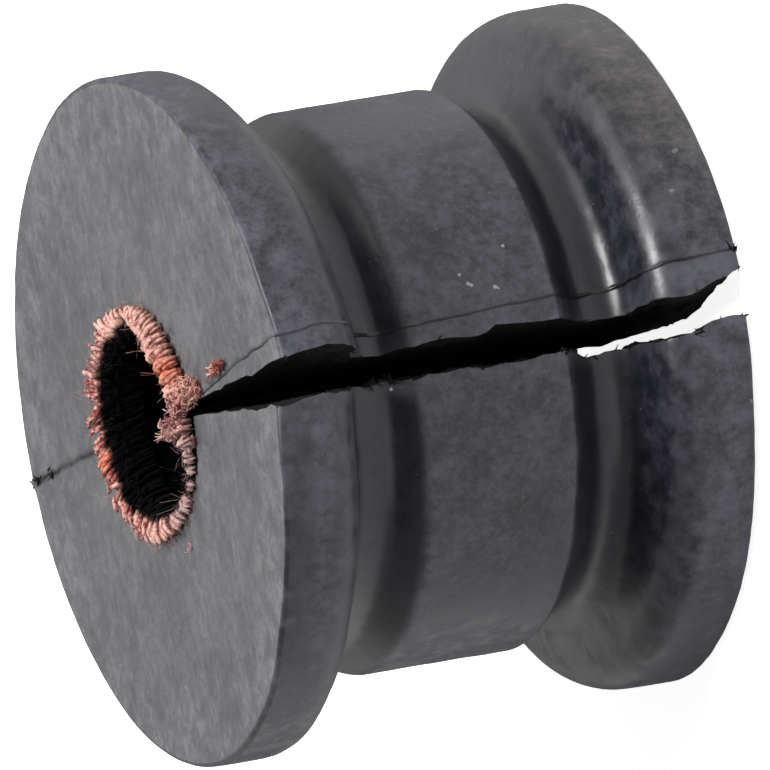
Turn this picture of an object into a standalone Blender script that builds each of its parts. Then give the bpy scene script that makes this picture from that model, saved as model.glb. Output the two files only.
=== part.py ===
"""Split rubber spool bush for an anti-roll bar, with a woven liner bonded in its bore.

Lengths are in metres and +Z is up. The bush stands on its lower flange with its bore on
the Z axis. The split through its wall faces -Y, and the liner's frayed mouth is on top.
"""

import math

import bmesh
import bpy

MM = 0.001

# Rubber body: the grooves are its tube, on which the flanges and the land stand
LENGTH = 48.7 * MM
GROOVE_RADIUS = 24.7 * MM
GROOVE_FLAT = 0.3 * MM
BORE_RADIUS = 10.4 * MM
FLANGE_HEIGHT = 8.8 * MM
FLANGE_THICKNESS = 8.1 * MM
FLANGE_DRAFT = math.radians(12.0)
LAND_HEIGHT = 2.5 * MM
LAND_SLOPE = math.radians(42.0)

# Rounded corners of the body's section
FACE_EDGE_RADIUS = 0.5 * MM
SHOULDER_RADIUS = 4.0 * MM
ROOT_FILLET = 3.5 * MM
GROOVE_FILLET = 2.0 * MM
LAND_EDGE_RADIUS = 0.8 * MM

# Sizes of the body's section that follow from the ones above
FLANGE_RADIUS = GROOVE_RADIUS + FLANGE_HEIGHT
FLANGE_ROOT = FLANGE_THICKNESS + FLANGE_HEIGHT * math.tan(FLANGE_DRAFT)
ROOT_REACH = ROOT_FILLET / math.tan((math.pi / 2 + FLANGE_DRAFT) / 2)
GROOVE_FLOOR = ROOT_REACH + GROOVE_FLAT + GROOVE_FILLET * math.tan(LAND_SLOPE / 2)
LAND_RADIUS = GROOVE_RADIUS + LAND_HEIGHT
LAND_WIDTH = LENGTH - 2 * (FLANGE_ROOT + GROOVE_FLOOR + LAND_HEIGHT / math.tan(LAND_SLOPE))

# Split: angles round the axis from -Y towards +X, at the top face unless said otherwise
SPLIT_START = math.radians(-4.8)
SPLIT_LEAN = math.radians(0.4)
SPLIT_OPENING = math.radians(6.4)
SPLIT_FLARE = math.radians(0.9)
SPLIT_TAPER = math.radians(0.4)
SPLIT_SECTIONS = 9
CUT_MARGIN = 4.0 * MM

# Flash left along the mould's parting line
FLASH_HEIGHT = 0.3 * MM
FLASH_WIDTH = 0.5 * MM
FLASH_ROOT = 2.0 * MM
FLASH_ANGLE = math.radians(7.0)
FLASH_TILT = math.radians(1.0)
FLASH_SETBACK = 0.8 * MM

# Woven liner
LINER_WALL = 1.1 * MM
LINER_CLEARANCE = 0.3 * MM
LINER_RECESS = 0.5 * MM
LIP_REACH = 2.2 * MM
LIP_WIDTH = 2.8 * MM
LIP_HEIGHT = 1.6 * MM
LIP_CLEARANCE = 0.45 * MM
LIP_INNER_ANGLE = math.radians(170.0)
LIP_OUTER_ANGLE = math.radians(-125.0)
LIP_FLARE_DEPTH = 1.5 * MM
LIP_UPRIGHT = 0.6
LIP_UPRIGHT_RISE = 0.9 * MM
TUFTS = 38
TUFT_DEPTH = 0.22 * MM
TUFT_RISE = 0.2 * MM
RAGGED_RISE = 0.15 * MM
RAGGED_WAVES = 5

# Facets
BODY_STEPS = 88
STEPS_PER_TUFT = 4
LIP_STEPS = 9
ARC_STEP = math.radians(22.5)
MERGE_DISTANCE = 0.00001
SMOOTH_ANGLE = math.radians(30.0)

# Finishes: colour, roughness, metallic
RUBBER = ("black_rubber", (0.055, 0.055, 0.06, 1.0), 0.62, 0.0)
WEAVE = ("salmon_weave", (0.52, 0.22, 0.17, 1.0), 0.95, 0.0)


def clear_scene():
    """Remove every object, so that the script can be run again in an open file."""
    for obj in list(bpy.data.objects):
        bpy.data.objects.remove(obj, do_unlink=True)


def new_collection(name):
    """Return a new collection linked to the scene."""
    collection = bpy.data.collections.new(name)
    bpy.context.scene.collection.children.link(collection)
    return collection


def new_material(finish):
    """Return a material with the colour, roughness and metallic value of a finish."""
    name, colour, roughness, metallic = finish
    material = bpy.data.materials.new(name)
    material.use_nodes = True
    shader = material.node_tree.nodes["Principled BSDF"]
    shader.inputs["Base Color"].default_value = colour
    shader.inputs["Roughness"].default_value = roughness
    shader.inputs["Metallic"].default_value = metallic
    return material


def rounded_outline(corners):
    """Return the points of a closed outline, each corner (x, y, radius) made an arc."""
    points = []
    for index, (x, y, radius) in enumerate(corners):
        if radius <= 0.0:
            points.append((x, y))
            continue
        before = corners[index - 1]
        after = corners[(index + 1) % len(corners)]
        angle_in = math.atan2(before[1] - y, before[0] - x)
        angle_out = math.atan2(after[1] - y, after[0] - x)
        inside = math.remainder(angle_out - angle_in, math.tau)
        setback = radius / abs(math.tan(inside / 2))
        centre_away = math.hypot(radius, setback)
        middle = angle_in + inside / 2
        centre_x = x + centre_away * math.cos(middle)
        centre_y = y + centre_away * math.sin(middle)
        turn = math.copysign(math.pi, inside) - inside
        start = angle_in - math.copysign(math.pi / 2, inside)
        count = max(2, round(abs(turn) / ARC_STEP))
        for step in range(count + 1):
            angle = start - turn * step / count
            points.append(
                (centre_x + radius * math.cos(angle), centre_y + radius * math.sin(angle))
            )
    return points


def body_corners(grow=0.0):
    """Return the corners of the body's outer side, top to bottom, moved outwards by grow."""
    flange = FLANGE_RADIUS + grow
    groove = GROOVE_RADIUS + grow
    land = LAND_RADIUS + grow
    lean = math.tan(FLANGE_DRAFT)
    wall_shift = grow / math.cos(FLANGE_DRAFT)
    slope_shift = grow * math.tan(LAND_SLOPE / 2)
    rim = LENGTH / 2 - FLANGE_THICKNESS - wall_shift + grow * lean
    root = rim - (flange - groove) * lean
    land_edge = LAND_WIDTH / 2 + slope_shift
    slope_foot = land_edge + (land - groove) / math.tan(LAND_SLOPE)
    upper = [
        (flange, rim, SHOULDER_RADIUS + grow),
        (groove, root, ROOT_FILLET - grow),
        (groove, slope_foot, GROOVE_FILLET - grow),
        (land, land_edge, LAND_EDGE_RADIUS + grow),
    ]
    lower = [(radius, -height, rounding) for radius, height, rounding in reversed(upper)]
    return [(x, LENGTH / 2 + height, rounding) for x, height, rounding in upper + lower]


def body_section():
    """Return the closed section of the rubber, running down its outer side."""
    corners = [(FLANGE_RADIUS, LENGTH, FACE_EDGE_RADIUS)]
    corners += body_corners()
    corners += [
        (FLANGE_RADIUS, 0.0, FACE_EDGE_RADIUS),
        (BORE_RADIUS, 0.0, 0.0),
        (BORE_RADIUS, LENGTH, 0.0),
    ]
    return rounded_outline(corners)


def liner_section():
    """Return the closed section of the liner: a thin wall that ends in a flared bead."""
    outer = BORE_RADIUS - LINER_CLEARANCE
    inner = outer - LINER_WALL
    bead_radius = outer + LIP_REACH - LIP_WIDTH / 2
    bead_height = LENGTH + LIP_CLEARANCE + LIP_HEIGHT / 2
    points = []
    for step in range(LIP_STEPS + 1):
        angle = LIP_INNER_ANGLE + (LIP_OUTER_ANGLE - LIP_INNER_ANGLE) * step / LIP_STEPS
        points.append(
            (
                bead_radius + LIP_WIDTH / 2 * math.cos(angle),
                bead_height + LIP_HEIGHT / 2 * math.sin(angle),
            )
        )
    points += [
        (outer, LENGTH - LINER_CLEARANCE),
        (outer, LENGTH / 2),
        (outer, LINER_RECESS),
        (inner, LINER_RECESS),
        (inner, LENGTH / 2),
        (inner, LENGTH - LIP_FLARE_DEPTH),
    ]
    return points


def turned_object(name, section, steps, collection):
    """Return an object whose section, a loop at +X, is turned round Z by a Screw modifier."""
    mesh = bpy.data.meshes.new(name)
    edges = [(index, (index + 1) % len(section)) for index in range(len(section))]
    mesh.from_pydata([(radius, 0.0, height) for radius, height in section], edges, [])
    obj = bpy.data.objects.new(name, mesh)
    collection.objects.link(obj)
    screw = obj.modifiers.new("turn", "SCREW")
    screw.axis = "Z"
    screw.angle = math.tau
    screw.steps = steps
    screw.render_steps = steps
    screw.use_merge_vertices = True
    screw.merge_threshold = MERGE_DISTANCE
    screw.use_smooth_shade = True
    return obj


def split_angles(height):
    """Return the angles of the split's two faces at a height above the lower face."""
    down = 1.0 - height / LENGTH
    across = 2.0 * down - 1.0
    start = SPLIT_START + SPLIT_LEAN * down
    opening = SPLIT_OPENING + SPLIT_FLARE * across**2 + SPLIT_TAPER * across
    return start, start + opening


def split_cutter(collection):
    """Return the wedge that opens the wall: a loft of thin triangles from axis to rim."""
    reach = FLANGE_RADIUS + CUT_MARGIN
    low = -CUT_MARGIN
    high = LENGTH + LIP_HEIGHT + CUT_MARGIN
    shape = bmesh.new()
    sections = []
    for index in range(SPLIT_SECTIONS):
        height = low + (high - low) * index / (SPLIT_SECTIONS - 1)
        start, end = split_angles(height)
        sections.append(
            [
                shape.verts.new((0.0, 0.0, height)),
                shape.verts.new((reach * math.sin(start), -reach * math.cos(start), height)),
                shape.verts.new((reach * math.sin(end), -reach * math.cos(end), height)),
            ]
        )
    shape.faces.new(reversed(sections[0]))
    shape.faces.new(sections[-1])
    for lower, upper in zip(sections, sections[1:]):
        for corner in range(3):
            following = (corner + 1) % 3
            shape.faces.new(
                (lower[corner], lower[following], upper[following], upper[corner])
            )
    bmesh.ops.recalc_face_normals(shape, faces=shape.faces)
    return cutter_object("split_wedge", shape, collection)


def cutter_object(name, shape, collection):
    """Return a wire-drawn helper object made from a finished bmesh, which is freed."""
    mesh = bpy.data.meshes.new(name)
    shape.to_mesh(mesh)
    shape.free()
    obj = bpy.data.objects.new(name, mesh)
    obj.display_type = "WIRE"
    obj.hide_render = True
    collection.objects.link(obj)
    return obj


def flash_plate(name, angle, tilt, collection):
    """Return a thin plate whose outer edge follows the body a flash height outside it."""
    top = LENGTH - FLASH_SETBACK
    edge = FLANGE_RADIUS + FLASH_HEIGHT
    foot = GROOVE_RADIUS - FLASH_ROOT
    corners = [(edge, top, 0.0)] + body_corners(FLASH_HEIGHT) + [(edge, FLASH_SETBACK, 0.0)]
    corners += [(foot, FLASH_SETBACK, 0.0), (foot, top, 0.0)]
    shape = bmesh.new()
    outline = [
        shape.verts.new((radius, -FLASH_WIDTH / 2, height - LENGTH / 2))
        for radius, height in rounded_outline(corners)
    ]
    side = shape.faces.new(outline)
    grown = bmesh.ops.extrude_face_region(shape, geom=[side])
    moved = [item for item in grown["geom"] if isinstance(item, bmesh.types.BMVert)]
    bmesh.ops.translate(shape, vec=(0.0, FLASH_WIDTH, 0.0), verts=moved)
    bmesh.ops.recalc_face_normals(shape, faces=shape.faces)
    plate = cutter_object(name, shape, collection)
    plate.location = (0.0, 0.0, LENGTH / 2)
    plate.rotation_euler = (tilt, 0.0, angle - math.pi / 2)
    return plate


def add_boolean(obj, other, operation):
    """Cut or join obj with other, live."""
    modifier = obj.modifiers.new(other.name, "BOOLEAN")
    modifier.operation = operation
    modifier.solver = "EXACT"
    modifier.object = other


def apply_modifiers(obj):
    """Replace an object's mesh by its evaluated one, so that its points can be moved."""
    depsgraph = bpy.context.evaluated_depsgraph_get()
    mesh = bpy.data.meshes.new_from_object(obj.evaluated_get(depsgraph))
    obj.modifiers.clear()
    obj.data = mesh


def fray_lip(obj):
    """Swell the liner's bead into tufts, uneven in height and upright near the split."""
    wall_radius = BORE_RADIUS - LINER_CLEARANCE - LINER_WALL / 2
    for vertex in obj.data.vertices:
        x, y, z = vertex.co
        above = max(0.0, z - LENGTH) / (LIP_CLEARANCE + LIP_HEIGHT)
        angle = math.atan2(y, x)
        radius = math.hypot(x, y)
        lobe = math.cos(TUFTS * angle)
        ragged = math.sin(RAGGED_WAVES * angle) * math.cos((RAGGED_WAVES + 2) * angle)
        upright = max(0.0, -y / radius) ** 2
        drawn_in = LIP_UPRIGHT * upright * min(1.0, 2 * above) * (radius - wall_radius)
        swell = 1.0 + (TUFT_DEPTH * lobe * above - drawn_in) / radius
        rise = TUFT_RISE * lobe + RAGGED_RISE * ragged + LIP_UPRIGHT_RISE * upright
        vertex.co = (x * swell, y * swell, z + above**2 * rise)


def build_body(parts, tools, wedge):
    """Build the moulded rubber: a turned section, its parting-line flash and the split."""
    body = turned_object("rubber_body", body_section(), BODY_STEPS, parts)
    opposite = FLASH_ANGLE + math.pi - (SPLIT_OPENING + SPLIT_FLARE) / 2
    add_boolean(body, flash_plate("flash_near", FLASH_ANGLE, FLASH_TILT, tools), "UNION")
    add_boolean(body, flash_plate("flash_far", opposite, 0.0, tools), "UNION")
    add_boolean(body, wedge, "DIFFERENCE")
    return body


def build_liner(parts, wedge):
    """Build the woven sleeve with its frayed mouth, split with the rubber."""
    liner = turned_object("woven_liner", liner_section(), TUFTS * STEPS_PER_TUFT, parts)
    apply_modifiers(liner)
    fray_lip(liner)
    liner.data.shade_smooth()
    liner.data.set_sharp_from_angle(angle=SMOOTH_ANGLE)
    add_boolean(liner, wedge, "DIFFERENCE")
    return liner


def main():
    """Build the bush."""
    clear_scene()
    parts = new_collection("anti_roll_bar_bush")
    tools = new_collection("cutters")
    axis = bpy.data.objects.new("bore_axis", None)
    parts.objects.link(axis)
    wedge = split_cutter(tools)
    for obj, finish in (
        (build_body(parts, tools, wedge), RUBBER),
        (build_liner(parts, wedge), WEAVE),
    ):
        obj.data.materials.append(new_material(finish))
        obj.parent = axis


main()
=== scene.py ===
"""Looks of a split spool bush: black moulded rubber with a frayed woven liner in its bore.

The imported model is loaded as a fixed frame. Finer surfaces take the place of its two solids,
in the same metres and the same axes: the bore runs along +Z, the bush stands on its lower
flange, and the split through its wall faces -Y. Angles round the axis are measured from -Y
towards +X, and depths down from the upper end face.
"""

from __future__ import annotations

import logging
import math
from dataclasses import dataclass, field
from enum import Enum

import bmesh
import bpy
import numpy as np
from mathutils import Matrix, Vector

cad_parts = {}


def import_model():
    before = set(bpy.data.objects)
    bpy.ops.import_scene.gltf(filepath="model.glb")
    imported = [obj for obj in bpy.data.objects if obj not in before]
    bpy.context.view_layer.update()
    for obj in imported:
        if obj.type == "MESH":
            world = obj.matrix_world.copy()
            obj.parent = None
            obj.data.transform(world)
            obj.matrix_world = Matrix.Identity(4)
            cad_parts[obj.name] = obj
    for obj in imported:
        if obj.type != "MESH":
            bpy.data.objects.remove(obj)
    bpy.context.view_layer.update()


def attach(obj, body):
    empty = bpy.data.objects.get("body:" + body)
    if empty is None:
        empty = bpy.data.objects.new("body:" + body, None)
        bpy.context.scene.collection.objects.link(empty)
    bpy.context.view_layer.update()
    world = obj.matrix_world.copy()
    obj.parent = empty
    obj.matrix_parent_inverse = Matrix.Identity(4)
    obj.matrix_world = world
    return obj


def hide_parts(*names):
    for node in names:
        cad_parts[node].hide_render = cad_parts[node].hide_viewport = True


LOG = logging.getLogger("bush")
MM = 0.001

Stations = tuple[tuple[float, float], ...]
Socket = bpy.types.NodeSocket


class Patch(Enum):
    """The kinds of surface on the rubber, in the order of its material slots."""

    SKIN = 0
    END = 1
    CUT = 2


def ease(
    value: np.ndarray, low: float | np.ndarray, high: float | np.ndarray
) -> np.ndarray:
    """Rise smoothly from 0 to 1 as a value goes from low to high.

    Args:
        value: Any array of numbers.
        low: The value at which the rise starts.
        high: The value at which it ends.

    Returns:
        The cubic 3t^2 - 2t^3 of the clamped share t of the way from low to high.
    """
    share = np.clip((value - low) / (high - low), 0.0, 1.0)
    return share * share * (3.0 - 2.0 * share)


def soft_curve(value: np.ndarray, stations: Stations) -> np.ndarray:
    """Follow a curve that is level at each of its stations.

    Args:
        value: Where to read the curve.
        stations: Place and height of each station, in rising order of place.

    Returns:
        The heights, eased from one station to the next and constant beyond the ends.
    """
    places, heights = np.array(stations).T
    index = np.clip(np.searchsorted(places, value) - 1, 0, len(places) - 2)
    share = ease(value, places[index], places[index + 1])
    return heights[index] + share * (heights[index + 1] - heights[index])


def wave_noise(points: np.ndarray, size: float, seed: int, waves: int = 16) -> np.ndarray:
    """Work out a smooth irregular field in space.

    Args:
        points: Positions, with x, y and z on the last axis.
        size: The distance over which the field changes, in metres.
        seed: Chooses the field.
        waves: How many plane waves are added.

    Returns:
        The sum of sines of plane waves with random directions, lengths near size and phases,
        scaled to a spread of about one.
    """
    random = np.random.default_rng(seed)
    directions = random.normal(size=(waves, 3))
    directions /= np.linalg.norm(directions, axis=1, keepdims=True)
    rates = math.tau / (size * random.uniform(0.7, 1.8, (waves, 1)))
    phases = random.uniform(0.0, math.tau, waves)
    return np.sin(points @ (directions * rates).T + phases).sum(axis=-1) / math.sqrt(waves / 2)


def around(radius: np.ndarray, angle: np.ndarray, height: np.ndarray) -> np.ndarray:
    """Turn radius, angle from -Y towards +X and height into positions."""
    parts = np.broadcast_arrays(radius * np.sin(angle), -radius * np.cos(angle), height)
    return np.stack(parts, axis=-1)


def polar(points: np.ndarray) -> tuple[np.ndarray, np.ndarray, np.ndarray]:
    """Turn positions into radius, angle from 0 to a full turn and height."""
    x, y, height = np.moveaxis(points, -1, 0)
    return np.hypot(x, y), np.arctan2(x, -y) % math.tau, height


def section_place(radius: np.ndarray, height: np.ndarray) -> np.ndarray:
    """Turn radius and height into positions in one plane, at which a noise is read."""
    return np.stack(np.broadcast_arrays(radius, height, 0.0 * radius), axis=-1)


def bent_paths(start: np.ndarray, run: np.ndarray, bend: np.ndarray, t: np.ndarray) -> np.ndarray:
    """Follow start + run * t + bend * t^2 along each strand."""
    return start[:, None] + run[:, None] * t[:, None] + bend[:, None] * (t**2)[:, None]


def unit(vectors: np.ndarray) -> np.ndarray:
    """Scale vectors to length one."""
    return vectors / (np.linalg.norm(vectors, axis=-1, keepdims=True) + 1e-12)


def grid_quads(rows: int, columns: int, closed: bool = False) -> np.ndarray:
    """List the faces of a grid of points.

    Args:
        rows: Number of rows of points.
        columns: Number of points in a row.
        closed: Whether the last column joins the first.

    Returns:
        Four point numbers for each face, row by row.
    """
    index = np.arange(rows * columns).reshape(rows, columns)
    right = np.roll(index, -1, axis=1) if closed else index[:, 1:]
    left = index if closed else index[:, :-1]
    return np.stack([left[:-1], right[:-1], right[1:], left[1:]], axis=-1).reshape(-1, 4)


def new_mesh(name: str, points: np.ndarray, faces: list[list[int]]) -> bpy.types.Object:
    """Make an object at the origin from positions and faces, smoothly shaded."""
    mesh = bpy.data.meshes.new(name)
    mesh.from_pydata(points.reshape(-1, 3), [], faces)
    mesh.shade_smooth()
    piece = bpy.data.objects.new(name, mesh)
    bpy.context.scene.collection.objects.link(piece)
    return piece


def read_vectors(source: bpy.types.bpy_prop_collection, key: str) -> np.ndarray:
    """Read one vector of every point of a mesh, such as its position or its normal."""
    flat = np.empty(len(source) * 3, dtype=np.float32)
    source.foreach_get(key, flat)
    return flat.reshape(-1, 3).astype(float)


def move_points(mesh: bpy.types.Mesh, points: np.ndarray) -> None:
    """Put new positions into a mesh."""
    mesh.vertices.foreach_set("co", points.astype(np.float32).ravel())
    mesh.update()


def store(mesh: bpy.types.Mesh, name: str, values: np.ndarray) -> None:
    """Store one number for each point of a mesh under a name that materials can read."""
    attribute = mesh.attributes.new(name, "FLOAT", "POINT")
    attribute.data.foreach_set("value", values.astype(np.float32).ravel())


@dataclass
class Strands:
    """Many round strands made as one mesh.

    Each strand follows its own path. A ring of points is set square to the path at each of
    its stations, and both ends are closed by a fan.
    """

    sides: int = 8
    plies: int = 0
    ply_depth: float = 0.12
    turns: float = 1.0

    def build(self, name: str, paths: np.ndarray, radii: np.ndarray) -> bpy.types.Object:
        """Make the strands.

        A point is path + radius * (cos s * across + sin s * up), where across and up are
        square to the path. Plies swell the radius by ply_depth * cos(plies * (s - turn)),
        with the turn growing evenly along the strand.

        Args:
            name: The piece's name.
            paths: Positions, as strands x stations x 3.
            radii: Radius at each station, as strands x stations.

        Returns:
            The finished object, whose points keep the order of the strands.
        """
        strands, stations = radii.shape
        along = unit(np.gradient(paths, axis=1))
        across = np.cross(along, unit(paths * np.array([1.0, 1.0, 0.0])))
        weak = np.linalg.norm(across, axis=2, keepdims=True) < 0.2
        across = unit(np.where(weak, np.cross(along, np.array([0.0, 0.0, 1.0])), across))
        up = np.cross(across, along)[:, :, None]
        spin = np.linspace(0.0, math.tau, self.sides, endpoint=False)
        turn = math.tau * self.turns * np.linspace(0.0, 1.0, stations)[:, None]
        swell = 1.0 + (self.ply_depth if self.plies else 0.0) * np.cos(self.plies * (spin - turn))
        sweep = np.cos(spin)[:, None] * across[:, :, None] + np.sin(spin)[:, None] * up
        rings = paths[:, :, None] + (radii[..., None] * swell)[..., None] * sweep
        ends = np.stack([paths[:, 0], paths[:, -1]], axis=1)
        points = np.concatenate([rings.reshape(strands, -1, 3), ends], axis=1)
        size = stations * self.sides + 2
        shift = (np.arange(strands) * size)[:, None, None]
        first = np.arange(self.sides)
        last = first + (stations - 1) * self.sides
        start_cap = np.stack([np.roll(first, -1), first, np.full(self.sides, size - 2)], axis=1)
        end_cap = np.stack([last, np.roll(last, -1), np.full(self.sides, size - 1)], axis=1)
        caps = np.concatenate([start_cap, end_cap])
        quads = grid_quads(stations, self.sides, closed=True)
        faces = (quads + shift).reshape(-1, 4).tolist() + (caps + shift).reshape(-1, 3).tolist()
        return new_mesh(name, points, faces)

    def spread(self, values: np.ndarray) -> np.ndarray:
        """Repeat a number for each strand and station over the points that build makes."""
        strands = len(values)
        rings = np.repeat(values, self.sides, axis=1)
        return np.concatenate([rings, values[:, :1], values[:, -1:]], axis=1).reshape(strands, -1)


@dataclass
class SpoolSection:
    """The turned section of the rubber, at real size."""

    length: float = 48.7 * MM
    groove_radius: float = 24.7 * MM
    groove_flat: float = 0.3 * MM
    bore_radius: float = 10.4 * MM
    flange_height: float = 8.8 * MM
    flange_thickness: float = 8.1 * MM
    flange_draft: float = math.radians(12.0)
    land_height: float = 2.5 * MM
    land_slope: float = math.radians(42.0)
    face_edge_radius: float = 0.5 * MM
    shoulder_radius: float = 4.0 * MM
    root_fillet: float = 3.5 * MM
    groove_fillet: float = 2.0 * MM
    upper_land_edge_radius: float = 2.2 * MM
    lower_land_edge_radius: float = 0.7 * MM
    row_step: float = 1.1 * MM
    arc_step: float = math.radians(9.0)

    @property
    def flange_radius(self) -> float:
        """Return the radius of the flanges' rims."""
        return self.groove_radius + self.flange_height

    def corners(self, land_edge_radius: float) -> list[tuple[float, float, float]]:
        """List the corners of one half of the outline.

        Args:
            land_edge_radius: Rounding of the land's edge on this half.

        Returns:
            Radius, height above mid-length and rounding of each corner, from the end face.
        """
        half = self.length / 2
        rim = half - self.flange_thickness
        root = rim - self.flange_height * math.tan(self.flange_draft)
        root_reach = self.root_fillet / math.tan((math.pi / 2 + self.flange_draft) / 2)
        foot_reach = self.groove_fillet * math.tan(self.land_slope / 2)
        foot = root - root_reach - self.groove_flat - foot_reach
        edge = foot - self.land_height / math.tan(self.land_slope)
        return [
            (self.flange_radius, half, self.face_edge_radius),
            (self.flange_radius, rim, self.shoulder_radius),
            (self.groove_radius, root, self.root_fillet),
            (self.groove_radius, foot, self.groove_fillet),
            (self.groove_radius + self.land_height, edge, land_edge_radius),
        ]

    def half_outline(self, land_edge_radius: float) -> np.ndarray:
        """Work out one half of the outline, from the end face to the middle of the land.

        Each corner is an arc that touches both of its lines: centre + radius times the
        direction that turns from one line's normal to the other's. Straight stretches are
        divided evenly.

        Args:
            land_edge_radius: Rounding of the land's edge on this half.

        Returns:
            Radius and height above mid-length of each row, as rows x 2.
        """
        land = self.groove_radius + self.land_height
        corners = [(self.bore_radius, self.length / 2, 0.0)]
        corners += self.corners(land_edge_radius) + [(land, 0.0, 0.0)]
        arcs: list[np.ndarray] = []
        for before, here, after in zip(corners, corners[1:], corners[2:]):
            corner = np.array(here[:2])
            to_before = unit(np.array(before[:2]) - corner)
            to_after = unit(np.array(after[:2]) - corner)
            inside = math.acos(float(np.clip(to_before @ to_after, -1.0, 1.0)))
            centre = corner + unit(to_before + to_after) * here[2] / math.sin(inside / 2)
            reach = here[2] / math.tan(inside / 2)
            start, end = corner + to_before * reach - centre, corner + to_after * reach - centre
            turn = math.pi - inside
            share = np.linspace(0.0, 1.0, max(3, round(turn / self.arc_step)) + 1)[:, None]
            swept = np.sin((1.0 - share) * turn) * start + np.sin(share * turn) * end
            arcs.append(centre + swept / math.sin(turn))
        path = np.concatenate(arcs + [np.array([[land, 0.0]])])
        rows = [path[:1]]
        for start, end in zip(path[:-1], path[1:]):
            count = max(1, math.ceil(np.linalg.norm(end - start) / self.row_step))
            rows.append(start + (end - start) * np.linspace(0.0, 1.0, count + 1)[1:, None])
        return np.concatenate(rows)

    def outline(self) -> np.ndarray:
        """Return radius and height above the lower face of each row, from the top down."""
        upper = self.half_outline(self.upper_land_edge_radius)
        lower = self.half_outline(self.lower_land_edge_radius)[::-1] * np.array([1.0, -1.0])
        return np.concatenate([upper, lower[1:]]) + np.array([0.0, self.length / 2])


@dataclass
class Split:
    """The cut through the wall: two ragged faces that wander as the blade did.

    Stations give the share of the length from the upper face, and the angle in degrees.
    """

    section: SpoolSection
    near_lip: Stations = (
        (0.0, 2.3), (0.07, 3.3), (0.15, 2.8), (0.21, 2.3), (0.31, 1.8), (0.38, 2.2), (0.49, 1.9),
        (0.52, 3.8), (0.67, 2.4), (0.8, 1.9), (0.86, 1.7), (0.95, 2.8), (1.0, 4.7),
    )  # fmt: skip
    far_lip: Stations = (
        (0.0, -5.4), (0.06, -4.8), (0.34, -4.3), (0.66, -4.5), (0.74, -6.0), (0.82, -5.5),
        (0.88, -4.6), (0.94, -3.3), (1.0, -3.0),
    )  # fmt: skip
    near_bore: Stations = ((0.0, 1.9), (0.62, 1.9), (0.76, 0.9), (1.0, 0.1))
    far_bore: Stations = ((0.0, -5.2), (0.58, -5.2), (0.7, -8.6), (0.8, -9.6), (1.0, -9.6))
    undercut: Stations = ((0.86, 0.0), (0.91, 3.0), (1.0, 3.0))
    wander_start: float = 17.0 * MM
    near_wander_end: float = 30.5 * MM
    far_wander_end: float = 24.8 * MM
    ragged: tuple[tuple[float, float], ...] = ((0.11 * MM, 3.1 * MM), (0.05 * MM, 0.9 * MM))

    def angles(self, radius: np.ndarray, height: np.ndarray) -> tuple[np.ndarray, np.ndarray]:
        """Work out where the two faces of the cut lie.

        Each face goes from a plane at the bore to its wandering lip at the skin, and wavers
        by a sum of noises, each of its own depth and size.

        Args:
            radius: Distance from the axis.
            height: Height above the lower face.

        Returns:
            The angle of the face on the -X side and of the one on the +X side.
        """
        depth = 1.0 - height / self.section.length
        place = section_place(radius, height)
        faces = []
        cuts = (
            (11, self.far_bore, self.far_lip, self.far_wander_end),
            (12, self.near_bore, self.near_lip, self.near_wander_end),
        )
        for seed, bore, lip, wander_end in cuts:
            share = ease(radius, self.wander_start, wander_end)
            inner = soft_curve(depth, bore)
            angle = np.radians(inner + share * (soft_curve(depth, lip) - inner))
            for deep, size in self.ragged:
                angle = angle + deep * (0.3 + 0.7 * share) / radius * wave_noise(place, size, seed)
            faces.append(angle)
        hollow = soft_curve(depth, self.undercut) * (1.0 - ease(radius, 27.0 * MM, 33.3 * MM))
        return faces[0] - np.radians(hollow), faces[1]


@dataclass
class PartingLines:
    """The mould's two parting lines: a torn ridge on the skin, a fine line on the ends.

    Stations give the share of the length from the upper face, and the angle in degrees.
    """

    section: SpoolSection
    near: Stations = (
        (0.0, 6.0), (0.1, 6.8), (0.16, 6.3), (0.23, 6.8), (0.31, 5.9), (0.66, 7.3), (1.0, 7.7),
    )  # fmt: skip
    far: Stations = ((0.0, 182.3), (0.5, 182.9), (1.0, 182.4))
    height: float = 0.24 * MM
    near_width: float = 0.19 * MM
    far_width: float = 0.34 * MM
    ragged: float = 0.05 * MM

    def angles(self, radius: np.ndarray, height: np.ndarray, lip: np.ndarray) -> list[np.ndarray]:
        """Work out where the two lines lie.

        Towards the bore the near line closes in on the lip of the cut.

        Args:
            radius: Distance from the axis.
            height: Height above the lower face.
            lip: Angle of the near lip of the cut.

        Returns:
            The angles of the near and the far line.
        """
        depth = 1.0 - height / self.section.length
        place = section_place(radius, height)
        waver = self.ragged / radius * wave_noise(place, 1.7 * MM, 13)
        open_share = 0.12 + 0.88 * ease(radius, 11.0 * MM, 24.0 * MM)
        near = lip + (np.radians(soft_curve(depth, self.near)) + waver - lip) * open_share
        return [near, np.radians(soft_curve(depth, self.far)) + waver]


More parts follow.
